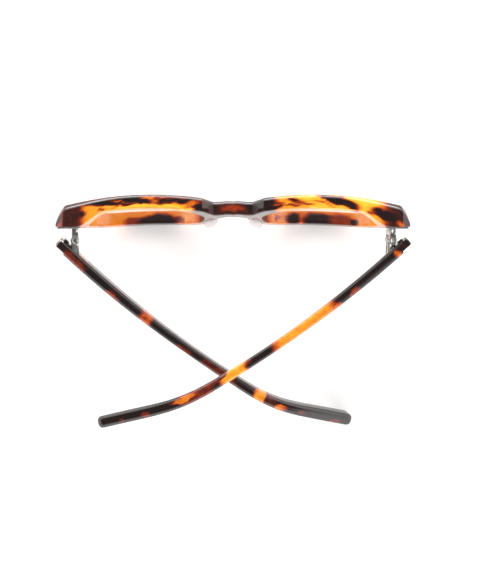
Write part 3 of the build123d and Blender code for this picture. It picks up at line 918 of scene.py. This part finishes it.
# ---------------------------------------------------------------------------
# temples
# ---------------------------------------------------------------------------
@dataclass
class TempleArm(SubAssembly):
    """One temple: bowed, bent in and dropped behind the ear, with its metal butt cap."""

    side: Side = Side.LEFT
    length: float = 147.0
    start: tuple[float, float, float] = (68.8, 12.4, 34.8)
    thick: tuple[float, float, float] = (4.4, 3.6, 4.9)
    high: tuple[float, float, float] = (8.8, 6.2, 7.4)
    round_share: float = 0.34
    bow: float = 11.0
    bow_end: float = 0.60
    bend: float = 18.0
    bend_span: Pair = (0.63, 0.87)
    drop: float = 16.5
    drop_span: Pair = (0.66, 0.88)
    tip_round: float = 1.9
    step: float = 0.7
    butt: float = 0.3                # the acetate starts inside the cap's end wall
    cap_wall: float = 0.6
    cap_outer: Pair = (0.85, 5.0)
    cap_inner: Pair = (0.6, 1.7)
    cap_proud: float = 0.1
    cap_edge: float = 0.14
    heel: tuple[float, float, float, float] = (1.4, 3.7, 5.0, 0.6)
    heel_root: float = 1.0           # how far the heel is sunk in the arm
    heel_edge: float = 0.22

    def turn(self, part: float) -> tuple[float, float]:
        """Inward turn and fall in radians at a part of the length."""
        inward = self.bow * min(1.0, part / self.bow_end) + self.bend * smooth(
            part, *self.bend_span)
        return math.radians(inward), math.radians(self.drop * smooth(part, *self.drop_span))

    def size(self, part: float) -> Pair:
        """Thickness and height at a part of the length."""
        if part < 0.5:
            k = smooth(part, 0.05, 0.5)
            return mix(self.thick[0], self.thick[1], k), mix(self.high[0], self.high[1], k)
        k = smooth(part, 0.5, 0.93)
        return mix(self.thick[1], self.thick[2], k), mix(self.high[1], self.high[2], k)

    def centres(self) -> list[tuple[float, Matrix]]:
        """Section frames along the temple, as parts of its length."""
        rows, spot = [], Vector(self.start)
        count = round(self.length / self.step)
        for i in range(count + 1):
            part = i / count
            t, f = self.turn(part)
            along = Vector((-math.sin(t) * math.cos(f), math.cos(t) * math.cos(f),
                            -math.sin(f)))
            wide = Vector((math.cos(t), math.sin(t), 0))
            up = along.cross(wide) * -1
            axes = Matrix((wide, up, along)).transposed().to_4x4()
            rows.append((part, Matrix.Translation(spot) @ axes))
            spot = spot + along * (self.length / count)
        return rows

    def tip_shrink(self, part: float) -> float:
        """How far the section draws in at the rounded tip."""
        left = (1 - part) * self.length
        if left >= self.tip_round:
            return 0.0
        gone = 1 - left / self.tip_round
        return self.tip_round * (1 - math.sqrt(max(0.0, 1 - gone * gone)))

    def blank(self) -> bmesh.types.BMesh:
        """Sweep of the rounded section."""
        bm = bmesh.new()
        along = bm.verts.layers.float.new("along")
        rows = self.centres()
        rows = [r for r in rows if r[0] * self.length > self.butt]
        extra = [rows[-1]]
        last_part, last = rows[-1]
        near = [0.7, 0.4, 0.2, 0.08, 0.02]
        rows = rows[:-1]
        for left in near:
            part = 1 - left / self.length
            back = Matrix.Translation(last.to_3x3() @ Vector((0, 0, -left)))
            rows.append((part, back @ last))
        rows += extra
        edges: list[bmesh.types.BMEdge] = []
        ends: list[list[bmesh.types.BMEdge]] = []
        for index, (part, place) in enumerate(rows):
            wide, tall = self.size(part)
            cut = min(self.tip_shrink(part), wide / 2 - 0.5)
            outline = Shaper.rounded(wide - 2 * cut, tall - 2 * cut,
                                     max(0.3, self.round_share * wide - cut * 0.6), 6, 5)
            spots = [place @ Vector((x, z, 0)) for x, z in outline]
            if not edges:
                edges = Shaper.loop(bm, spots)
                verts = [e.verts[1] for e in edges]
                ends.append(edges)
            else:
                grown = bmesh.ops.extrude_edge_only(bm, edges=edges)["geom"]
                edges = [g for g in grown if isinstance(g, bmesh.types.BMEdge)]
                verts = self.follow(verts, grown)
                for vert, spot in zip(verts, spots):
                    vert.co = spot
            for vert in verts:
                vert[along] = part * self.length
        ends.append(edges)
        for border in ends:
            bmesh.ops.contextual_create(bm, geom=border)
        return bm

    @staticmethod
    def follow(verts: Sequence[bmesh.types.BMVert],
               grown: Sequence[object]) -> list[bmesh.types.BMVert]:
        """New vertices in the order of the ones they were extruded from."""
        fresh = {g for g in grown if isinstance(g, bmesh.types.BMVert)}
        found = []
        for vert in verts:
            found.append(next(e.other_vert(vert) for e in vert.link_edges
                              if e.other_vert(vert) in fresh))
        return found

    def add_heel(self, bm: bmesh.types.BMesh) -> None:
        """Small step on the inner side by the hinge."""
        first, last, tall, proud = self.heel
        inner = self.start[0] - self.thick[0] / 2
        base = bmesh.new()
        near, far = self.start[1] + first, self.start[1] + last
        outside, inside = inner - proud, inner + self.heel_root
        Shaper.prism(base, [(outside, near), (inside, near), (inside, far), (outside, far)],
                     self.start[2] - tall / 2, self.start[2] + tall / 2)
        Shaper.soften(base, self.heel_edge)
        Shaper.merge(bm, base)

    def cap(self) -> bmesh.types.BMesh:
        """Metal strap round the butt end: end wall, long outer leg, short inner leg."""
        bm = bmesh.new()
        wide, tall = self.thick[0] + 2 * self.cap_proud, self.high[0] + 2 * self.cap_proud
        radius = self.round_share * self.thick[0] + self.cap_proud
        section = Shaper.rounded(wide, tall, radius, 7)
        legs = [(self.cap_wall, None, 0.0), (self.cap_outer[1], 1, self.cap_outer[0]),
                (self.cap_inner[1], -1, self.cap_inner[0])]
        for long, hand, deep in legs:
            leg = bmesh.new()
            Shaper.prism(leg, section, 0.0 if hand is None else 0.02, long)
            if hand is not None:
                edge = hand * (wide / 2 - deep - self.cap_proud)
                cut = bmesh.ops.bisect_plane(leg, geom=Shaper.everything(leg),
                                             plane_co=(edge, 0, 0), plane_no=(-hand, 0, 0),
                                             clear_outer=True)
                border = [g for g in cut["geom_cut"] if isinstance(g, bmesh.types.BMEdge)]
                bmesh.ops.contextual_create(leg, geom=border)
            Shaper.soften(leg, self.cap_edge, angle=CORNER_ANGLE)
            Shaper.merge(bm, leg)
        stand = Matrix(((1, 0, 0, 0), (0, 0, 1, 0), (0, 1, 0, 0), (0, 0, 0, 1)))
        start = Matrix.Translation((self.start[0], self.start[1] - 0.03, self.start[2]))
        bmesh.ops.transform(bm, matrix=start @ stand, verts=bm.verts)
        return bm

    def hand(self, bm: bmesh.types.BMesh) -> None:
        """Mirrors a left-hand mesh for the right side."""
        if self.side is Side.RIGHT:
            Shaper.mirror(bm)

    def build(self, acetate: bpy.types.Material, metal: bpy.types.Material,
              pattern: Pattern) -> None:
        """Makes the arm and its cap."""
        word = self.side.word
        bm = self.blank()
        along = bm.verts.layers.float["along"]
        self.add_heel(bm)
        tone = bm.verts.layers.float.new("tone")
        rows = self.centres()
        for vert in bm.verts:
            at = vert[along] if vert[along] > 0 else vert.co.y - self.start[1]
            place = rows[min(len(rows) - 1, round(at / self.length * (len(rows) - 1)))][1]
            local = place.inverted() @ vert.co
            vert[tone] = pattern.tone(Vector((at, local.x, local.y)))
        self.hand(bm)
        place = PLACES.temple(self.side)
        self.piece(bm, word + "_temple_acetate", place, word + "_temple_arm", Slot.TORTOISE,
                   acetate, 40.0)
        cap = self.cap()
        self.hand(cap)
        self.piece(cap, word + "_cap_strap", place, word + "_butt_cap", Slot.POLISHED, metal)


# ---------------------------------------------------------------------------
# hinges
# ---------------------------------------------------------------------------
@dataclass
class Hinge(SubAssembly):
    """Five-leaf barrel hinge: three leaves on the front, two on the temple, and a screw."""

    side: Side = Side.LEFT
    leaf: float = 1.3
    pitch: float = 1.38
    knuckle: float = 1.75
    neck_half: float = 1.3
    neck: Pair = (-6.35, -2.05)
    half_high: float = 3.41
    plate: tuple[float, float, float, float] = (2.6, 3.5, 1.3, 11.7)
    plate_half: float = 2.7
    plate_corner: float = 0.9
    plate_edge: float = 0.10
    foot: tuple[float, float, float] = (3.15, 1.4, 5.4)
    shank: float = 0.6
    head: Pair = (1.15, 0.5)
    slot_size: Pair = (0.3, 0.25)
    slot_turn: float = 35.0
    edge: float = 0.13

    def leaf_outline(self, front: bool) -> list[Pair]:
        """Plan shape of one leaf: round knuckle drawn out to its root."""
        if front:
            arc = Shaper.ring(self.knuckle, 25, -42.0, 222.0)
            return arc + [(-self.neck_half, self.neck[1] - 0.5),
                          (self.neck_half, self.neck[1] - 0.5)]
        x, y0, y1 = self.foot
        arc = Shaper.ring(self.knuckle, 25, 118.0, 318.0)
        return arc + [(x, y0), (x, y1)]

    def front_half(self) -> bmesh.types.BMesh:
        """Neck and three leaves."""
        bm = bmesh.new()
        w = self.neck_half
        Shaper.prism(bm, [(-w, self.neck[0]), (w, self.neck[0]), (w, self.neck[1]),
                          (-w, self.neck[1])], -self.half_high, self.half_high)
        Shaper.soften(bm, self.edge)
        for level in (-2, 0, 2):
            self.add_leaf(bm, True, level)
        return bm

    def temple_half(self) -> bmesh.types.BMesh:
        """Two leaves of the temple half."""
        bm = bmesh.new()
        for level in (-1, 1):
            self.add_leaf(bm, False, level)
        return bm

    def add_leaf(self, bm: bmesh.types.BMesh, front: bool, level: int) -> None:
        """Adds one bevelled leaf."""
        part = bmesh.new()
        mid = level * self.pitch
        Shaper.prism(part, self.leaf_outline(front), mid - self.leaf / 2, mid + self.leaf / 2)
        Shaper.soften(part, self.edge, angle=CORNER_ANGLE)
        Shaper.merge(bm, part)

    def plate_mesh(self) -> bmesh.types.BMesh:
        """Plate sunk in the temple's inner face, with a rounded outline."""
        bm = bmesh.new()
        x0, x1, y0, y1 = self.plate
        long, mid = y1 - y0, (y0 + y1) / 2
        corner = Shaper.rounded(long, 2 * self.plate_half, self.plate_corner, 5)
        Shaper.prism(bm, corner, x0, x1)
        turn = Matrix(((0, 0, 1, 0), (1, 0, 0, mid), (0, 1, 0, 0), (0, 0, 0, 1)))
        bmesh.ops.transform(bm, matrix=turn, verts=bm.verts)
        Shaper.soften(bm, self.plate_edge, angle=CORNER_ANGLE)
        return bm

    def screw(self) -> bmesh.types.BMesh:
        """Slotted screw: shank by spinning its profile, head with a cut slot."""
        radius, tall = self.head
        top = self.half_high
        profile = [(0.0, -top - 0.02), (self.shank * 0.8, -top - 0.02), (self.shank, -top + 0.15),
                   (self.shank, top), (radius, top), (radius, top + tall * 0.62),
                   (radius * 0.86, top + tall * 0.92), (radius * 0.6, top + tall),
                   (0.0, top + tall)]
        bm = Shaper.turned(profile, 32)
        bmesh.ops.remove_doubles(bm, verts=bm.verts, dist=WELD)
        wide, deep = self.slot_size
        turn = Matrix.Rotation(math.radians(self.slot_turn), 3, "Z")
        across = turn @ Vector((0, 1, 0))
        for hand in (-1, 1):
            for gap in (wide / 2, wide / 2 - 0.05):
                bmesh.ops.bisect_plane(bm, geom=Shaper.everything(bm), dist=WELD,
                                       plane_co=across * (hand * gap), plane_no=across)
        for vert in bm.verts:
            if vert.co.z > top + tall * 0.5 and abs(vert.co.dot(across)) < wide / 2 - 0.03:
                vert.co.z -= deep
        return bm

    def build(self, nickel: bpy.types.Material, steel: bpy.types.Material) -> None:
        """Makes the front half, the temple half and the screw."""
        word, side = self.side.word, self.side
        fixed = PLACES.straight() @ PLACES.hinge(side)
        self.piece(self.front_half(), word + "_hinge_front_leaves", fixed,
                   word + "_front_hinge", Slot.HINGE, nickel)
        self.piece(self.screw(), word + "_pivot_screw", fixed, word + "_hinge_screw",
                   Slot.SCREW, steel, 30.0)
        leaves, plate = self.temple_half(), self.plate_mesh()
        for part, canted in ((leaves, True), (plate, False)):
            if side is Side.RIGHT:
                Shaper.mirror(part)
            bmesh.ops.transform(part, matrix=PLACES.hinge(side, canted), verts=part.verts)
        Shaper.merge(leaves, plate)
        self.piece(leaves, word + "_hinge_temple_leaves", PLACES.temple(side),
                   word + "_temple_hinge", Slot.HINGE, nickel)


# ---------------------------------------------------------------------------
# small parts on the front
# ---------------------------------------------------------------------------
@dataclass
class NosePads(SubAssembly):
    """The two pad blocks on the nose sides of the rims."""

    centre: tuple[float, float, float] = (9.1, 0.0, 17.0)
    back: float = -0.4
    radius: float = 2.2
    half_long: float = 7.4
    flare: float = -17.0             # wider apart at the foot
    tip: float = 5.0

    def pad(self, side: Side, front: FrontFrame) -> bmesh.types.BMesh:
        """Spindle spun about its own length."""
        angles = [math.radians(a) for a in range(-90, 91, 6)]
        bm = Shaper.turned([(max(0.0, self.radius * math.cos(a)), self.half_long * math.sin(a))
                            for a in angles], 40)
        x, _, z = self.centre
        y = front.back_y(x, z) + self.back
        turn = Matrix.Rotation(math.radians(self.tip), 4, "X") @ Matrix.Rotation(
            math.radians(self.flare), 4, "Y")
        bmesh.ops.transform(bm, matrix=Matrix.Translation((x, y, z)) @ turn, verts=bm.verts)
        if side is Side.RIGHT:
            Shaper.mirror(bm)
        return bm

    def build(self, front: FrontFrame, material: bpy.types.Material) -> None:
        """Makes both pads."""
        place = PLACES.straight() @ PLACES.lean_front()
        for side in Side:
            self.piece(self.pad(side, front), side.word + "_pad_block", place,
                       side.word + "_nose_pad", Slot.CLEAR, material, None)


@dataclass
class KeptParts(SubAssembly):
    """CAD nodes whose shape is final: lenses, end trims, rivets and core wires."""

    def build(self, finishes: dict[str, bpy.types.Material]) -> None:
        """Dresses each kept node."""
        for side in Side:
            for ending, material in finishes.items():
                self.dress(f"{side.word}_{ending}", material)


# ---------------------------------------------------------------------------
# patterns
# ---------------------------------------------------------------------------
def front_ground(place: Vector) -> float:
    """Ground tone of the front sheet: amber brow, dark bridge and ends."""
    x = place.x
    level = 0.80
    level = mix(level, 0.93, smooth(x, -62, -52) * (1 - smooth(x, -36, -26)))
    level = mix(level, 0.24, 1 - smooth(abs(x), 13, 19))
    level = mix(level, 0.20, smooth(abs(x), 57, 64))
    return mix(level, 0.66, 1 - smooth(place.z, 8, 16)) if abs(x) > 12 else level


def front_pattern() -> Pattern:
    """Patches of the front, in millimetres: along, behind the front face, up."""
    brow, deep = 38.0, 14.0

    def top(tone: float, x: float, y: float, rx: float, ry: float, turn: float = 0.0,
            soft: float = 0.3) -> Patch:
        return Patch(tone, (x, y, brow), (rx, ry, deep), turn, soft)

    def low(tone: float, x: float, y: float, rx: float, ry: float, turn: float = 0.0,
            soft: float = 0.3) -> Patch:
        return Patch(tone, (x, y, 2.0), (rx, ry, 7.0), turn, soft)

    patches = (
        # left brow, from the end piece to the bridge
        top(0.34, 54.0, 0.8, 11.0, 1.3), top(0.30, 30.0, 0.3, 18.0, 0.8),
        top(0.46, 20.0, 1.6, 7.0, 1.6), top(0.06, 51.5, 2.4, 8.6, 1.15, -10.0),
        top(0.22, 47.0, 1.4, 8.0, 0.8, -6.0), top(0.06, 39.0, 2.0, 7.6, 1.5, -10.0),
        top(0.64, 44.6, 2.6, 4.0, 0.35, -16.0), top(0.16, 42.0, 3.6, 5.0, 0.6, -8.0),
        top(0.07, 22.4, 1.8, 8.6, 1.6, 12.0), top(0.34, 23.5, 1.3, 9.0, 0.6, 8.0),
        top(0.40, 30.6, 1.6, 1.8, 1.0), top(0.30, 26.0, 3.5, 5.0, 0.5, 8.0),
        top(0.05, 12.9, 4.4, 3.2, 1.7, -18.0), top(0.10, 60.2, 5.2, 1.9, 1.3),
        top(0.22, 52.0, 4.4, 1.6, 0.5), top(0.25, 47.5, 4.2, 1.3, 0.5),
        top(0.97, 36.0, 4.7, 12.0, 0.75), top(0.97, 22.0, 4.9, 7.0, 0.7),
        top(0.86, 49.5, 4.0, 3.0, 0.6), top(0.60, 17.0, 3.4, 3.0, 1.0, 30.0),
        # left end piece
        top(0.20, 66.0, 5.0, 6.0, 7.0), top(0.44, 69.6, 6.6, 1.1, 2.4),
        top(0.30, 68.2, 3.0, 0.6, 4.5, 10.0),
        # bridge
        top(0.42, 0.0, 3.0, 4.6, 1.3), top(0.20, 0.0, 5.2, 8.0, 1.0),
        top(0.18, 8.6, 2.5, 3.0, 3.2), top(0.14, -9.0, 2.6, 3.4, 3.4),
        # right brow
        top(0.05, -12.0, 1.9, 5.4, 1.7), top(0.08, -15.6, 4.3, 4.8, 1.6, 12.0),
        top(0.46, -18.0, 3.4, 2.4, 0.5), top(0.08, -24.4, 2.2, 2.8, 0.75, -6.0),
        top(0.40, -28.0, 3.6, 7.0, 0.6, -12.0), top(0.06, -42.0, 2.3, 8.6, 1.7, -14.0),
        top(0.30, -26.5, 4.6, 6.0, 0.5, -8.0), top(0.55, -36.0, 3.4, 5.0, 0.5, -14.0),
        top(0.12, -46.5, 4.0, 3.4, 0.9, -24.0), top(0.22, -39.0, 0.7, 6.0, 0.6),
        top(0.98, -53.0, 1.6, 6.0, 1.6), top(0.96, -30.5, 1.4, 4.4, 0.9),
        top(0.94, -33.0, 4.9, 7.0, 0.5), top(0.07, -60.6, 5.6, 5.6, 1.9, -14.0),
        top(0.45, -54.6, 5.4, 1.3, 0.7), top(0.60, -67.0, 7.4, 1.6, 2.0),
        top(0.18, -67.6, 3.4, 3.4, 3.4),
        # lower rims
        low(0.66, 55.0, 3.0, 6.0, 4.0), low(0.30, 60.0, 4.4, 3.0, 0.8, 30.0),
        low(0.28, 56.0, 5.6, 2.6, 0.7, -20.0), low(0.36, 42.0, 4.5, 4.4, 2.0),
        low(0.05, 31.5, 4.8, 9.0, 3.4), low(0.30, 23.0, 4.0, 3.4, 1.6),
        low(0.76, 19.5, 3.4, 2.0, 2.2), low(0.06, 15.0, 3.8, 3.0, 3.0),
        low(0.90, 13.0, 3.2, 0.8, 0.8), low(0.86, -15.5, 3.2, 1.2, 2.2),
        low(0.05, -18.0, 3.2, 1.2, 2.4), low(0.55, -20.5, 3.0, 1.6, 2.0),
        low(0.12, -25.0, 3.4, 3.4, 2.8), low(0.56, -28.6, 3.0, 1.4, 2.0),
        low(0.08, -36.0, 4.2, 7.0, 3.4), low(0.36, -46.0, 3.8, 6.0, 3.0),
        low(0.05, -51.2, 4.4, 1.8, 1.2), low(0.70, -54.0, 3.8, 2.0, 3.0),
        low(0.22, -58.0, 4.6, 2.6, 1.8, 30.0), low(0.56, -61.5, 4.0, 2.0, 2.0))
    return Pattern(front_ground, patches, 0.75, 0.34, 3.7)


def arm_pattern(side: Side) -> Pattern:
    """Patches of a temple, in millimetres: along, outward, up."""
    def band(tone: float, start: float, end: float, outward: float = 0.0,
             wide: float = 9.0, soft: float = 0.22) -> Patch:
        half = (end - start) / 2
        return Patch(tone, (start + half, outward, 0.0), (half, wide, 16.0), 0.0, soft)

    if side is Side.LEFT:
        patches = (
            band(0.33, 4, 18, 1.2, 2.4), band(0.02, 16, 27), band(0.38, 26, 36, 1.6, 1.1),
            band(0.03, 34, 43), band(0.50, 44, 51, 0.0, 9.0, 0.4), band(0.04, 51, 66),
            band(0.34, 62, 70, 1.5, 1.2), band(0.30, 76, 95, 0.6, 2.2),
            band(0.08, 93, 101, -0.8, 1.6), band(0.78, 102.5, 108), band(0.22, 107, 112),
            band(0.66, 112, 117, 0.6, 2.0), band(0.05, 116, 145),
            band(0.32, 121, 125, 1.0, 1.0), band(0.34, 137, 141, 1.6, 1.1))
        return Pattern(lambda p: 0.13, patches, 1.3, 0.20, 8.1)
    patches = (
        band(0.16, 0, 4), band(0.56, 5.0, 8.6, 0.6, 1.5), band(0.04, 9, 27),
        band(0.40, 27, 33.5, 1.0, 1.9), band(0.03, 33.5, 37), band(0.44, 36.5, 40, 1.3, 1.3),
        band(0.74, 39, 70), band(0.80, 44, 66, -0.6, 1.0), band(0.05, 70.5, 79),
        band(0.34, 79, 84, -1.0, 1.4), band(0.82, 82, 95), band(0.30, 90, 100, -1.6, 1.2),
        band(0.32, 97, 112), band(0.66, 104, 117, -1.0, 0.8), band(0.05, 116, 145),
        band(0.36, 125, 128.5, 0.4, 1.6), band(0.30, 135, 138, 1.7, 1.0))
    return Pattern(lambda p: 0.10, patches, 1.3, 0.20, 5.3)


# ---------------------------------------------------------------------------
# studio
# ---------------------------------------------------------------------------
@dataclass
class Studio:
    """Floor, lights, world and camera."""

    floor_half: float = 1.2
    world_top: float = 0.24          # radiance overhead, which the flat tops mirror
    world_low: float = 2.70          # radiance of the surround
    world_band: Pair = (0.58, 0.78)  # height over which the one turns into the other
    camera_at: tuple[float, float, float] = (-0.00488, -0.01111, 0.600)
    lens_mm: float = 88.4
    light_aim: tuple[float, float, float] = (0.0, 0.0, 0.03)
    lights: tuple[tuple[str, tuple[float, float, float], Pair, float], ...] = (
        ("hinge_light", (-0.40, 0.14, 1.00), (0.16, 0.16), 0.26),
        ("low_strip", (0.0, -1.0, 0.16), (1.6, 0.12), 5.0))

    def floor(self) -> None:
        """Large pale card just under the glasses."""
        bm = bmesh.new()
        bmesh.ops.create_grid(bm, x_segments=8, y_segments=8, size=self.floor_half)
        bmesh.ops.translate(bm, vec=(0, 0, -0.0002), verts=bm.verts)
        mesh = bpy.data.meshes.new("studio_floor")
        bm.to_mesh(mesh)
        bm.free()
        mesh.materials.append(PaleSweep().build())
        card = bpy.data.objects.new("studio_floor", mesh)
        bpy.context.scene.collection.objects.link(card)

    def softbox(self, name: str, place: Sequence[float], aim: Sequence[float], size: Pair,
                power: float) -> None:
        """Adds one rectangular soft light.

        Args:
            name: light's name.
            place: where it stands, in metres.
            aim: where it points.
            size: width and height, in metres.
            power: in watts.
        """
        data = bpy.data.lights.new(name, "AREA")
        data.shape, data.size, data.size_y, data.energy = "RECTANGLE", size[0], size[1], power
        lamp = bpy.data.objects.new(name, data)
        lamp.location = place
        lamp.rotation_euler = (Vector(aim) - Vector(place)).to_track_quat("-Z", "Y").to_euler()
        bpy.context.scene.collection.objects.link(lamp)

    def sky(self) -> None:
        """Light tent with a dark opening overhead."""
        world = bpy.data.worlds.new("studio")
        world.use_nodes = True
        bpy.context.scene.world = world
        graph = Graph(world.node_tree)
        way = graph.node("TexCoord").out("Generated")
        height = graph.node("SeparateXYZ", {}, {0: way}).out("Z")
        low, top = self.world_low, self.world_top
        shade = graph.node("Mix", {"data_type": "RGBA", "clamp_factor": True},
                           {"Factor": height.between(*self.world_band),
                            6: (low, low, low, 1.0), 7: (top, top, top, 1.0)})
        ground = graph.node("Background", {}, {"Color": shade.out("Result"), "Strength": 1.0})
        graph.node("OutputWorld", {}, {"Surface": ground})

    def camera(self) -> None:
        """Camera straight above, with the front's brow at the top of the view."""
        data = bpy.data.cameras.new("view")
        data.lens = self.lens_mm
        data.sensor_width = 36.0
        data.clip_start, data.clip_end = 0.01, 20.0
        camera = bpy.data.objects.new("view", data)
        camera.location = self.camera_at
        camera.rotation_euler = (0.0, 0.0, math.pi)
        bpy.context.scene.collection.objects.link(camera)
        bpy.context.scene.camera = camera

    def build(self) -> None:
        """Sets up the studio."""
        self.camera()
        self.floor()
        self.sky()
        for name, place, size, power in self.lights:
            self.softbox(name, place, self.light_aim, size, power)
        scene = bpy.context.scene
        scene.view_settings.view_transform = "Standard"
        scene.view_settings.look = "None"
        scene.view_settings.exposure = 0.0


# ---------------------------------------------------------------------------
# putting it together
# ---------------------------------------------------------------------------
def main() -> None:
    """Builds every piece in order and reports it."""
    logging.basicConfig(level=logging.INFO, format="%(name)s %(message)s")
    noise.seed_set(NOISE_SEED)
    Studio().build()

    tortoise_front = Tortoiseshell("tortoise_front").build()
    tortoise_arm = Tortoiseshell("tortoise_temple", fine=0.34, streak=0.30).build()
    silver = Metal("polished_silver", linear(236, 234, 230), linear(190, 187, 183), 0.14, 0.05)
    nickel = Metal("satin_nickel", linear(236, 233, 228), linear(150, 146, 141), 0.18, 0.10)
    steel = Metal("turned_steel", linear(214, 212, 208), linear(150, 147, 143), 0.20, 0.15)
    wire = Metal("core_steel", linear(170, 168, 166), linear(120, 118, 116), 0.35, 0.2,
                 (0.2, 2.0, 2.0))
    silver_m, nickel_m, steel_m, wire_m = (m.build() for m in (silver, nickel, steel, wire))

    front = FrontFrame()
    front.build(tortoise_front, front_pattern())
    groups: list[SubAssembly] = [front]
    pads = NosePads()
    pads.build(front, ClearPad().build())
    groups.append(pads)
    for side in Side:
        temple = TempleArm(side=side)
        temple.build(tortoise_arm, silver_m, arm_pattern(side))
        hinge = Hinge(side=side)
        hinge.build(nickel_m, steel_m)
        groups += [temple, hinge]
    kept = KeptParts()
    kept.build({"lens": ClearLens().build(), "end_trim": silver_m, "front_rivets": wire_m,
                "temple_rivets": wire_m, "core_wire": wire_m})
    groups.append(kept)
    LOG.info("%d pieces in %d sub-assemblies", sum(len(g.made) for g in groups), len(groups))


if __name__ == "__main__":
    main()
